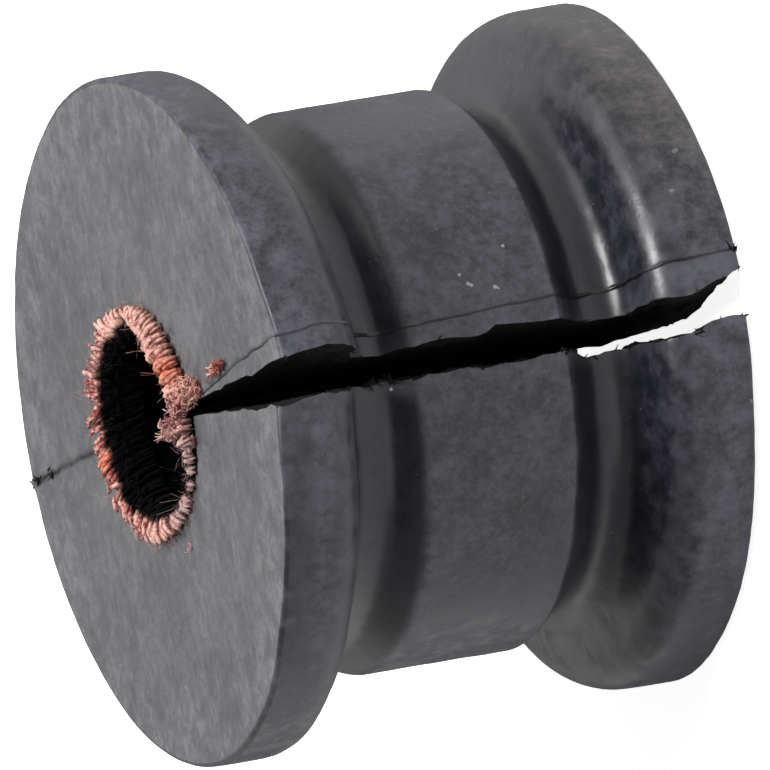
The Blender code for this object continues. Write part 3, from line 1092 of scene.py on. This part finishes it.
# The end faces are the skin's rubber in a lighter colour and dust: partly a paler finish, partly painted
# light where the faces are lit more brightly.
END_FINISH = RubberFinish(
    name="end_face_rubber",
    colour=(0.064, 0.064, 0.071),
    dust_colour=(0.175, 0.173, 0.180),
    dust=0.72,
    roughness=0.5,
    gloss=0.4,
    grain=0.8,
    streaks=0.7,
    stretch=(0.18, 1.0, 1.0),
)
CUT_FINISH = RubberFinish(
    name="cut_rubber",
    colour=(0.005, 0.0045, 0.005),
    dust_colour=(0.02, 0.015, 0.015),
    dust=0.3,
    roughness=0.75,
    gloss=0.12,
    grain=1.0,
    streaks=0.3,
    stretch=(1.0, 1.0, 1.0),
)
BROWN_DUST = (0.105, 0.088, 0.080)
PALE_MARK_COLOUR = (0.42, 0.40, 0.38)
# Parting-line colour: the flash's own dark, widened as painted shadow beside its ridge.
LINE_AND_SHADOW_COLOUR = (0.003, 0.003, 0.004)
YARN_FINISH = ClothFinish(
    name="salmon_yarn",
    pale=(0.90, 0.54, 0.46),
    deep=(0.27, 0.055, 0.052),
    bright=(0.94, 0.33, 0.21),
    greyed=(0.42, 0.31, 0.32),
    stained=(0.0018, 0.0016, 0.0018),
    fuzz=0.02,
)
SLEEVE_FINISH = ClothFinish(
    name="stained_weave",
    pale=(0.10, 0.03, 0.028),
    deep=(0.06, 0.012, 0.012),
    bright=(0.10, 0.03, 0.028),
    greyed=(0.06, 0.012, 0.012),
    stained=(0.0014, 0.0013, 0.0014),
    fuzz=0.0,
)
FIBRE_FINISH = ClothFinish(
    name="pale_fibre",
    pale=(0.68, 0.46, 0.38),
    deep=(0.32, 0.11, 0.09),
    bright=(0.80, 0.30, 0.16),
    greyed=(0.36, 0.26, 0.25),
    stained=(0.02, 0.012, 0.012),
    fuzz=0.1,
)


@dataclass(frozen=True)
class Spot:
    """A pale fleck on the skin.

    Angle is in degrees; depth below the upper face, radius from the axis and size in mm.
    """

    angle: float
    depth: float
    radius: float
    size: float
    strength: float = 0.8

    def centre(self) -> tuple[float, float, float]:
        """Return the spot's middle in metres."""
        height = SpoolSection.length - self.depth * MM
        return tuple(float(part) for part in around(self.radius * MM, math.radians(self.angle), height))


# Pale spots at given places on the land and in the upper groove.
FLECKS = (
    Spot(14.8, 23.1, 27.2, 0.20),
    Spot(12.6, 23.7, 27.2, 0.22),
    Spot(12.2, 23.95, 27.2, 0.20),
    Spot(11.1, 26.3, 27.2, 0.21),
    Spot(10.7, 26.55, 27.2, 0.15),
    Spot(19.4, 28.3, 27.2, 0.16),
    Spot(354.0, 14.4, 25.3, 0.20),
    Spot(354.2, 13.9, 25.1, 0.16),
)


class Sheet:
    """A node tree with short calls that add nodes, set their inputs and link them."""

    def __init__(self, tree: bpy.types.NodeTree) -> None:
        """Keep the tree and start it empty."""
        self.tree = tree
        tree.nodes.clear()

    def add(self, kind: str, settings: dict | None = None, **inputs: object) -> bpy.types.Node:
        """Add a node.

        Args:
            kind: The node's type name.
            settings: Its properties.
            **inputs: Its inputs by name, spaces written as underscores; a socket is linked.

        Returns:
            The new node.
        """
        node = self.tree.nodes.new(kind)
        for key, value in (settings or {}).items():
            setattr(node, key, value)
        for key, value in inputs.items():
            self.feed(node.inputs[key.replace("_", " ")], value)
        return node

    def feed(self, socket: Socket, value: object) -> None:
        """Link a socket to another one, or set its value."""
        if isinstance(value, Socket):
            self.tree.links.new(value, socket)
        else:
            socket.default_value = value

    def math(self, operation: str, first: object, second: object = 0.0) -> Socket:
        """Add a Math node and return its value."""
        node = self.add("ShaderNodeMath", {"operation": operation})
        self.feed(node.inputs[0], first)
        self.feed(node.inputs[1], second)
        return node.outputs[0]

    def mix(self, share: object, first: object, second: object) -> Socket:
        """Mix two colours and return the result."""
        node = self.add("ShaderNodeMix", {"data_type": "RGBA"})
        self.feed(node.inputs[0], share)
        for socket, value in ((node.inputs[6], first), (node.inputs[7], second)):
            self.feed(socket, value if isinstance(value, Socket) else (*value, 1.0))
        return node.outputs[2]

    def fit(
        self, value: object, low: float, high: float, start: float = 0.0, end: float = 1.0
    ) -> Socket:
        """Map a value smoothly from one range to another, clamped, and return it."""
        node = self.add("ShaderNodeMapRange", {"interpolation_type": "SMOOTHSTEP"})
        for socket, number in zip(node.inputs[:5], (value, low, high, start, end)):
            self.feed(socket, number)
        return node.outputs[0]

    def noise(self, vector: object, scale: object, detail: float = 3.0, rough: float = 0.55) -> Socket:
        """Add a Noise Texture and return its value."""
        node = self.add("ShaderNodeTexNoise", Vector=vector, Scale=scale, Detail=detail, Roughness=rough)
        return node.outputs[0]

    def bend(self, vector: object, scale: float, share: float) -> Socket:
        """Bend the space of a texture by mixing a share of a noise into its vector."""
        wobble = self.add("ShaderNodeTexNoise", Vector=vector, Scale=scale, Detail=2.0)
        bent = self.add("ShaderNodeMix", {"data_type": "VECTOR"})
        for index, value in ((0, share), (4, vector), (5, wobble.outputs[1])):
            self.feed(bent.inputs[index], value)
        return bent.outputs[1]

    def mark(self, name: str) -> Socket:
        """Read one number stored on the mesh."""
        return self.add("ShaderNodeAttribute", {"attribute_name": name}).outputs["Fac"]


class Group:
    """A shader node group under construction, with named inputs and outputs."""

    def __init__(self, name: str, inputs: dict[str, float | None], outputs: tuple[str, ...]) -> None:
        """Start the group.

        Args:
            name: Its name.
            inputs: First value of each number it takes; None stands for a vector.
            outputs: Names of the numbers it gives.
        """
        self.tree = bpy.data.node_groups.new(name, "ShaderNodeTree")
        for label, value in inputs.items():
            kind = "NodeSocketVector" if value is None else "NodeSocketFloat"
            socket = self.tree.interface.new_socket(label, in_out="INPUT", socket_type=kind)
            if value is not None:
                socket.default_value = value
        for label in outputs:
            self.tree.interface.new_socket(label, in_out="OUTPUT", socket_type="NodeSocketFloat")
        self.sheet = Sheet(self.tree)
        self.given = self.sheet.add("NodeGroupInput").outputs
        self.result = self.sheet.add("NodeGroupOutput").inputs


class Effects:
    """The shader node groups that the finishes share."""

    def __init__(self) -> None:
        """Build each group once."""
        self.grain = self.make_grain()
        self.dust = self.make_dust()
        self.specks = self.make_specks()
        self.scuffs = self.make_scuffs()
        self.wear_and_highlight = self.make_wear_and_highlight()
        self.spot = self.make_spot()

    @staticmethod
    def make_grain() -> bpy.types.NodeTree:
        """Make the fine moulded grain: soft lumps with small pits between them."""
        group = Group("moulded_grain", {"Vector": None, "Scale": 900.0}, ("Height",))
        sheet, (vector, scale) = group.sheet, group.given[:2]
        fine = sheet.noise(vector, scale, 4.0)
        coarse = sheet.noise(vector, sheet.math("MULTIPLY", scale, 0.2), 3.0)
        cells = sheet.add("ShaderNodeTexVoronoi", Vector=vector, Scale=scale)
        pit = sheet.math("MULTIPLY", sheet.fit(cells.outputs[0], 0.0, 0.35), 0.15)
        lumps = sheet.math("ADD", sheet.math("MULTIPLY", fine, 0.5), coarse)
        sheet.feed(group.result[0], sheet.math("ADD", lumps, pit))
        return group.tree

    @staticmethod
    def make_dust() -> bpy.types.NodeTree:
        """Make the film of dust and bloom: an uneven veil, from clouds down to fine grit."""
        group = Group("dust_film", {"Vector": None, "Amount": 0.5}, ("Mask",))
        sheet, (vector, amount) = group.sheet, group.given[:2]
        total = 0.0
        for scale, weight in ((110.0, 0.27), (420.0, 0.27), (1100.0, 0.26), (3300.0, 0.2)):
            band = sheet.math("MULTIPLY", sheet.noise(vector, scale, 2.0), weight)
            total = sheet.math("ADD", total, band)
        shaped = sheet.fit(total, 0.37, 0.63, 0.0, 1.0)
        sheet.feed(group.result[0], sheet.math("MULTIPLY", shaped, amount))
        return group.tree

    @staticmethod
    def make_spot() -> bpy.types.NodeTree:
        """Make one irregular spot: a ball round a place, measured through a bent space."""
        values = {"Vector": None, "Place": None, "Size": 0.0003, "Wobble": 0.5}
        group = Group("spot", values, ("Mask",))
        sheet, (vector, place, size, wobble) = group.sheet, group.given[:4]
        apart = sheet.add("ShaderNodeVectorMath", {"operation": "DISTANCE"})
        sheet.feed(apart.inputs[0], vector)
        sheet.feed(apart.inputs[1], place)
        share = sheet.math("DIVIDE", apart.outputs["Value"], size)
        share = sheet.math("ADD", share, sheet.math("MULTIPLY", wobble, 1.4))
        sheet.feed(group.result[0], sheet.fit(share, 1.2, 1.9, 1.0, 0.0))
        return group.tree

    @staticmethod
    def make_specks() -> bpy.types.NodeTree:
        """Make scattered specks: the middles of a few cells, chosen by their own colour."""
        group = Group("pale_specks", {"Vector": None, "Scale": 400.0, "Share": 0.1}, ("Mask",))
        sheet, (vector, scale, share) = group.sheet, group.given[:3]
        bent = sheet.bend(vector, 1800.0, 0.0007)
        cells = sheet.add("ShaderNodeTexVoronoi", Vector=bent, Scale=scale)
        tone = sheet.add("ShaderNodeSeparateColor", Color=cells.outputs["Color"])
        chosen = sheet.math("LESS_THAN", tone.outputs[0], share)
        size = sheet.math("MULTIPLY", tone.outputs[2], 0.14)
        middle = sheet.math("LESS_THAN", cells.outputs["Distance"], sheet.math("ADD", size, 0.05))
        speck = sheet.math("MULTIPLY", middle, chosen)
        sheet.feed(group.result[0], sheet.math("MULTIPLY", speck, tone.outputs[1]))
        return group.tree

    @staticmethod
    def make_scuffs() -> bpy.types.NodeTree:
        """Make curved hairline scuffs: the thin borders of large bent cells, broken up."""
        group = Group("scuffs", {"Vector": None, "Scale": 60.0, "Width": 0.01}, ("Mask",))
        sheet, (vector, scale, width) = group.sheet, group.given[:3]
        bent = sheet.bend(vector, 70.0, 0.012)
        edges = {"feature": "DISTANCE_TO_EDGE"}
        cells = sheet.add("ShaderNodeTexVoronoi", edges, Vector=bent, Scale=scale)
        line = sheet.math("LESS_THAN", cells.outputs[0], width)
        broken = sheet.fit(sheet.noise(vector, 150.0, 3.0, 0.6), 0.55, 0.68)
        sheet.feed(group.result[0], sheet.math("MULTIPLY", line, broken))
        return group.tree

    @staticmethod
    def make_wear_and_highlight() -> bpy.types.NodeTree:
        """Make lighter edges on the marked corners, broken up by a noise: partly worn, partly painted
        highlights.
        """
        group = Group("edge_wear_and_highlight", {"Vector": None, "Edge": 0.0}, ("Mask",))
        sheet, (vector, edge) = group.sheet, group.given[:2]
        broken = sheet.fit(sheet.noise(vector, 420.0, 4.0, 0.65), 0.35, 0.7)
        sheet.feed(group.result[0], sheet.math("MULTIPLY", edge, broken))
        return group.tree


class Finisher:
    """Turns finishes into materials."""

    def __init__(self, effects: Effects) -> None:
        """Keep the shared node groups."""
        self.effects = effects

    @staticmethod
    def start(name: str) -> tuple[bpy.types.Material, Sheet, bpy.types.NodeInputs, Socket]:
        """Make a material with a Principled shader.

        Args:
            name: The material's name.

        Returns:
            The material, its sheet, the shader's inputs and the object coordinates.
        """
        material = bpy.data.materials.new(name)
        material.use_nodes = True
        sheet = Sheet(material.node_tree)
        shader = sheet.add("ShaderNodeBsdfPrincipled")
        output = sheet.add("ShaderNodeOutputMaterial")
        sheet.feed(output.inputs["Surface"], shader.outputs[0])
        return material, sheet, shader.inputs, sheet.add("ShaderNodeTexCoord").outputs["Object"]

    @staticmethod
    def effect(sheet: Sheet, group: bpy.types.NodeTree, **inputs: object) -> Socket:
        """Place a shared group in a material and return its first output."""
        return sheet.add("ShaderNodeGroup", {"node_tree": group}, **inputs).outputs[0]

    def spots(self, sheet: Sheet, place: Socket, kind: tuple[Spot, ...]) -> Socket:
        """Put several spots into one mask."""
        total = 0.0
        wobble = sheet.noise(place, 1700.0, 2.0)
        for spot in kind:
            given = {"Vector": place, "Place": spot.centre(), "Size": spot.size * MM, "Wobble": wobble}
            mask = self.effect(sheet, self.effects.spot, **given)
            total = sheet.math("MAXIMUM", total, sheet.math("MULTIPLY", mask, spot.strength))
        return total

    def film(self, sheet: Sheet, place: Socket, finish: RubberFinish) -> Socket:
        """Work out how much dust lies on the rubber, with its worn edges, painted shade and painted edge
        highlights.

        Args:
            sheet: The material's sheet.
            place: Object coordinates.
            finish: The rubber's finish.

        Returns:
            The film's share: dust and streaks outside the pits, where thinning them is partly
            painted shade, then the edges, partly worn and partly painted highlights, and the lips.
        """
        stretched = sheet.add("ShaderNodeMapping", Vector=place, Scale=finish.stretch).outputs[0]
        streak = sheet.fit(sheet.noise(stretched, 1500.0, 4.0, 0.62), 0.3, 0.75, -0.4, 0.6)
        dust = self.effect(sheet, self.effects.dust, Vector=place, Amount=finish.dust)
        film = sheet.math("ADD", dust, sheet.math("MULTIPLY", streak, 0.4 * finish.streaks))
        # Thinning the film in the pits darkens the grooves and the lower flange's wall: partly cleaner
        # rubber, partly painted shade.
        dust_thinned_for_shade = sheet.math("SUBTRACT", 1.0, sheet.math("MULTIPLY", sheet.mark("pit"), 0.85))
        film = sheet.math("MULTIPLY", film, dust_thinned_for_shade)
        # Lighter edges: partly worn corners, partly painted edge highlights.
        wear_and_highlight = self.effect(sheet, self.effects.wear_and_highlight, Vector=place, Edge=sheet.mark("edge"))
        film = sheet.math("ADD", film, sheet.math("MULTIPLY", wear_and_highlight, 0.35))
        film = sheet.math("ADD", film, sheet.math("MULTIPLY", sheet.mark("lip"), 0.15))
        return film

    def pale_marks(self, sheet: Sheet, place: Socket) -> Socket:
        """Work out the pale specks, hairline scuffs and the pale flecks at listed places."""
        coarse = self.effect(sheet, self.effects.specks, Vector=place, Scale=520.0, Share=0.02)
        fine = self.effect(sheet, self.effects.specks, Vector=place, Scale=1500.0, Share=0.1)
        scuffs = self.effect(sheet, self.effects.scuffs, Vector=place, Scale=75.0, Width=0.004)
        bits = sheet.math("MAXIMUM", coarse, sheet.math("MULTIPLY", fine, 0.5))
        bits = sheet.math("MAXIMUM", bits, sheet.math("MULTIPLY", scuffs, 0.2))
        bits = sheet.math("MULTIPLY", bits, 0.4)
        return sheet.math("MAXIMUM", bits, self.spots(sheet, place, FLECKS))

    def rubber(self, finish: RubberFinish) -> bpy.types.Material:
        """Make a rubber material: its colour under the film, the pale marks and parting lines."""
        material, sheet, shader, place = self.start(finish.name)
        film = self.film(sheet, place, finish)
        dusty = sheet.mix(sheet.math("MULTIPLY", sheet.mark("brown"), 0.7), finish.dust_colour, BROWN_DUST)
        colour = sheet.mix(film, finish.colour, dusty)
        colour = sheet.mix(self.pale_marks(sheet, place), colour, PALE_MARK_COLOUR)
        # The dark parting lines are partly the flash's colour and partly painted shadow of the ridge.
        broken = sheet.fit(sheet.noise(place, 190.0, 2.0), 0.32, 0.5, 0.5, 1.0)
        line = sheet.math("MULTIPLY", sheet.mark("line"), broken)
        colour = sheet.mix(line, colour, LINE_AND_SHADOW_COLOUR)
        sheet.feed(shader["Base Color"], colour)
        rough = sheet.fit(film, 0.0, 0.6, finish.roughness, finish.roughness + 0.22)
        facing = sheet.add("ShaderNodeLayerWeight", Blend=0.5).outputs["Facing"]
        sheet.feed(shader["Roughness"], sheet.math("ADD", rough, sheet.fit(facing, 0.45, 1.0, 0.0, 0.35)))
        grain = self.effect(sheet, self.effects.grain, Vector=place, Scale=1500.0)
        bump = sheet.add("ShaderNodeBump", Strength=finish.grain, Distance=0.00008, Height=grain)
        sheet.feed(shader["Normal"], bump.outputs[0])
        shader["Specular IOR Level"].default_value = finish.gloss
        return material

    def cloth(self, finish: ClothFinish) -> bpy.types.Material:
        """Make a yarn material: each strand's own tone, stained black inside the bore."""
        material, sheet, shader, place = self.start(finish.name)
        mottled = sheet.noise(place, 2300.0, 3.0, 0.65)
        own = sheet.math("MULTIPLY", sheet.mark("tone"), 0.55)
        share = sheet.math("ADD", own, sheet.math("MULTIPLY", sheet.fit(mottled, 0.3, 0.7), 0.7))
        colour = sheet.mix(sheet.fit(share, 0.3, 1.0), finish.pale, finish.deep)
        bright = sheet.mix(sheet.fit(mottled, 0.4, 0.75), finish.bright, finish.deep)
        colour = sheet.mix(sheet.mark("hue"), colour, bright)
        colour = sheet.mix(sheet.mark("grey"), colour, finish.greyed)
        colour = sheet.mix(sheet.mark("clean"), finish.stained, colour)
        sheet.feed(shader["Base Color"], colour)
        hairs = sheet.noise(place, 6000.0, 4.0, 0.7)
        bump = sheet.add("ShaderNodeBump", Strength=0.9, Distance=0.00008, Height=hairs)
        sheet.feed(shader["Normal"], bump.outputs[0])
        shader["Roughness"].default_value = 0.95
        shader["Specular IOR Level"].default_value = 0.03
        shader["Sheen Weight"].default_value = finish.fuzz
        shader["Sheen Roughness"].default_value = 0.5
        return material


@dataclass
class PhotoCamera:
    """The camera, from the bush's outline in a picture of 770 by 770 pixels.

    It stands as far off as the photo's lack of perspective needs, and no further: a viewer
    that keeps this narrow lens has to get the whole bush in from within 100 of its radii.
    """

    frame: float = 770.0
    pixels_per_metre: float = 10488.0
    face_x: float = 152.9
    face_y: float = 421.5
    tilt: float = math.radians(22.2)
    roll: float = math.radians(9.44)
    near_angle: float = math.radians(-4.46)
    distance: float = 3.0
    sensor_width: float = 36.0
    clip: tuple[float, float] = (0.1, 20.0)

    def build(self, face_height: float) -> bpy.types.Object:
        """Place the camera.

        The camera's own axes are right, down and away. In them the bore runs away from the
        visible face along (cos t cos r, -cos t sin r, sin t), with tilt t and roll r, and the
        side of the bush nearest the camera lies at near_angle.

        Args:
            face_height: Height of the visible end face, on whose centre the picture's
                measures are taken.

        Returns:
            The camera.
        """
        cos_t, sin_t = math.cos(self.tilt), math.sin(self.tilt)
        cos_r, sin_r = math.cos(self.roll), math.sin(self.roll)
        seen = Matrix(
            (
                (sin_t * cos_r, -sin_r, -cos_t * cos_r),
                (-sin_t * sin_r, -cos_r, cos_t * sin_r),
                (-cos_t, 0.0, -sin_t),
            )
        )
        cos_n, sin_n = math.cos(self.near_angle), math.sin(self.near_angle)
        world = Matrix(((sin_n, cos_n, 0.0), (-cos_n, sin_n, 0.0), (0.0, 0.0, 1.0)))
        back = world @ seen.transposed()
        middle = self.frame / 2
        across = (self.face_x - middle) / self.pixels_per_metre
        down = (self.face_y - middle) / self.pixels_per_metre
        place = Vector((0.0, 0.0, face_height)) - back @ Vector((across, down, self.distance))
        data = bpy.data.cameras.new("photo_camera")
        camera = bpy.data.objects.new("photo_camera", data)
        bpy.context.scene.collection.objects.link(camera)
        flip = Matrix.Diagonal((1.0, -1.0, -1.0))
        camera.matrix_world = Matrix.Translation(place) @ (back @ flip).to_4x4()
        data.sensor_width = self.sensor_width
        data.lens = self.sensor_width * self.pixels_per_metre * self.distance / self.frame
        data.clip_start, data.clip_end = self.clip
        bpy.context.scene.camera = camera
        return camera


@dataclass(frozen=True)
class Lamp:
    """A soft square lamp: the direction it stands in, its distance, size and power."""

    name: str
    direction: tuple[float, float, float]
    distance: float
    size: float
    power: float


LAMP_AIM = Vector((0.0, 0.0, 24.0 * MM))
LAMPS = (
    Lamp("overhead", (0.264, -0.26, 0.95), 1.05, 0.28, 11.0),
    Lamp("face_light", (0.50, -0.04, 0.85), 1.4, 1.0, 6.0),
    Lamp("low_fill", (-0.75, -1.0, 0.12), 1.5, 1.3, 4.0),
    Lamp("upper_fill", (1.0, -0.55, 0.1), 1.5, 1.0, 0.8),
)


@dataclass
class Studio:
    """The pale floor, the white surround with its one dark side, and the soft lamps."""

    floor_size: float = 6.0
    surround: float = 0.22
    floor_glow: float = 0.88
    floor_mirrored: float = 0.3
    dark_side: tuple[float, float, float] = (-0.60, -0.05, 0.80)
    darkness: float = 0.5
    floor_colour: tuple[float, float, float, float] = (0.8, 0.8, 0.8, 1.0)

    @staticmethod
    def seen(sheet: Sheet) -> Socket:
        """Return 1 for rays that show the background: camera, glossy and transmission."""
        path = sheet.add("ShaderNodeLightPath").outputs
        direct = sheet.math("MAXIMUM", path["Is Camera Ray"], path["Is Glossy Ray"])
        return sheet.math("MAXIMUM", direct, path["Is Transmission Ray"])

    def floor(self) -> bpy.types.Object:
        """Make the floor: it keeps the bush's shadow and looks white to the camera."""
        half = self.floor_size / 2
        corners = np.array([[-half, -half, 0.0], [half, -half, 0.0], [half, half, 0.0], [-half, half, 0.0]])
        piece = new_mesh("studio_floor", corners, [[0, 1, 2, 3]])
        material = bpy.data.materials.new("pale_floor")
        material.use_nodes = True
        sheet = Sheet(material.node_tree)
        matte = sheet.add("ShaderNodeBsdfDiffuse", Color=self.floor_colour)
        camera = sheet.add("ShaderNodeLightPath").outputs["Is Camera Ray"]
        level = sheet.fit(camera, 0.0, 1.0, self.floor_mirrored, self.floor_glow)
        strength = sheet.math("MULTIPLY", self.seen(sheet), level)
        glow = sheet.add("ShaderNodeEmission", Strength=strength)
        both = sheet.add("ShaderNodeAddShader")
        sheet.feed(both.inputs[0], matte.outputs[0])
        sheet.feed(both.inputs[1], glow.outputs[0])
        output = sheet.add("ShaderNodeOutputMaterial")
        sheet.feed(output.inputs["Surface"], both.outputs[0])
        piece.data.materials.append(material)
        return piece

    def world(self) -> None:
        """Make the surround: white where it is seen, a soft grey light to everything else.

        One side is dark, as a black card beside the set makes it, for all but the camera.
        """
        world = bpy.data.worlds.new("surround")
        world.use_nodes = True
        sheet = Sheet(world.node_tree)
        direction = sheet.add("ShaderNodeTexCoord").outputs["Generated"]
        toward = sheet.add("ShaderNodeVectorMath", {"operation": "DOT_PRODUCT"})
        sheet.feed(toward.inputs[0], direction)
        sheet.feed(toward.inputs[1], self.dark_side)
        dark = sheet.fit(toward.outputs["Value"], 0.2, 0.85, 0.0, self.darkness)
        camera = sheet.add("ShaderNodeLightPath").outputs["Is Camera Ray"]
        shade = sheet.math("SUBTRACT", 1.0, sheet.math("MULTIPLY", dark, sheet.math("SUBTRACT", 1.0, camera)))
        strength = sheet.math("MULTIPLY", sheet.fit(self.seen(sheet), 0.0, 1.0, self.surround, 1.0), shade)
        glow = sheet.add("ShaderNodeBackground", Color=(1.0, 1.0, 1.0, 1.0), Strength=strength)
        output = sheet.add("ShaderNodeOutputWorld")
        sheet.feed(output.inputs["Surface"], glow.outputs[0])
        bpy.context.scene.world = world

    @staticmethod
    def light(lamp: Lamp) -> None:
        """Add a soft square lamp that faces the middle of the bush."""
        data = bpy.data.lights.new(lamp.name, "AREA")
        data.size = lamp.size
        data.energy = lamp.power
        light = bpy.data.objects.new(lamp.name, data)
        away = Vector(lamp.direction).normalized()
        light.location = LAMP_AIM + away * lamp.distance
        light.rotation_euler = (-away).to_track_quat("-Z", "Y").to_euler()
        bpy.context.scene.collection.objects.link(light)


def dress(piece: bpy.types.Object, node: str, material: bpy.types.Material | None) -> None:
    """Bind a piece to the frame.

    Args:
        piece: The finished piece.
        node: The solid whose place it takes.
        material: Its material, unless it already has its own.
    """
    if material:
        piece.data.materials.append(material)
    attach(piece, "root")
    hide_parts(node)
    LOG.info("%s: %d faces", piece.name, len(piece.data.polygons))


def main() -> None:
    """Build the bush, its surroundings and the camera."""
    logging.basicConfig(level=logging.INFO, format="%(name)s %(message)s")
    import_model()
    finisher = Finisher(Effects())
    section = SpoolSection()
    split = Split(section)
    sprung = Sprung(section)
    skin, end, cut = (finisher.rubber(finish) for finish in (SKIN_FINISH, END_FINISH, CUT_FINISH))

    body = RubberBody(section, split, PartingLines(section), sprung, finishes=[skin, end, cut])
    dress(body.build(), "rubber_body", None)
    dress(Shreds(section, split, sprung).build(), "rubber_body", cut)

    liner = WovenLiner(section, split)
    yarn, fibre = finisher.cloth(YARN_FINISH), finisher.cloth(FIBRE_FINISH)
    dress(liner.sleeve(), "woven_liner", finisher.cloth(SLEEVE_FINISH))
    dress(liner.yarn_ends(), "woven_liner", yarn)
    dress(liner.binding(), "woven_liner", yarn)
    dress(liner.fibres(), "woven_liner", fibre)
    dress(Clumps(section, liner).build(), "woven_liner", yarn)

    PhotoCamera().build(section.length)
    studio = Studio()
    studio.floor()
    studio.world()
    for lamp in LAMPS:
        studio.light(lamp)
    bpy.context.scene.view_settings.view_transform = "Standard"


if __name__ == "__main__":
    main()
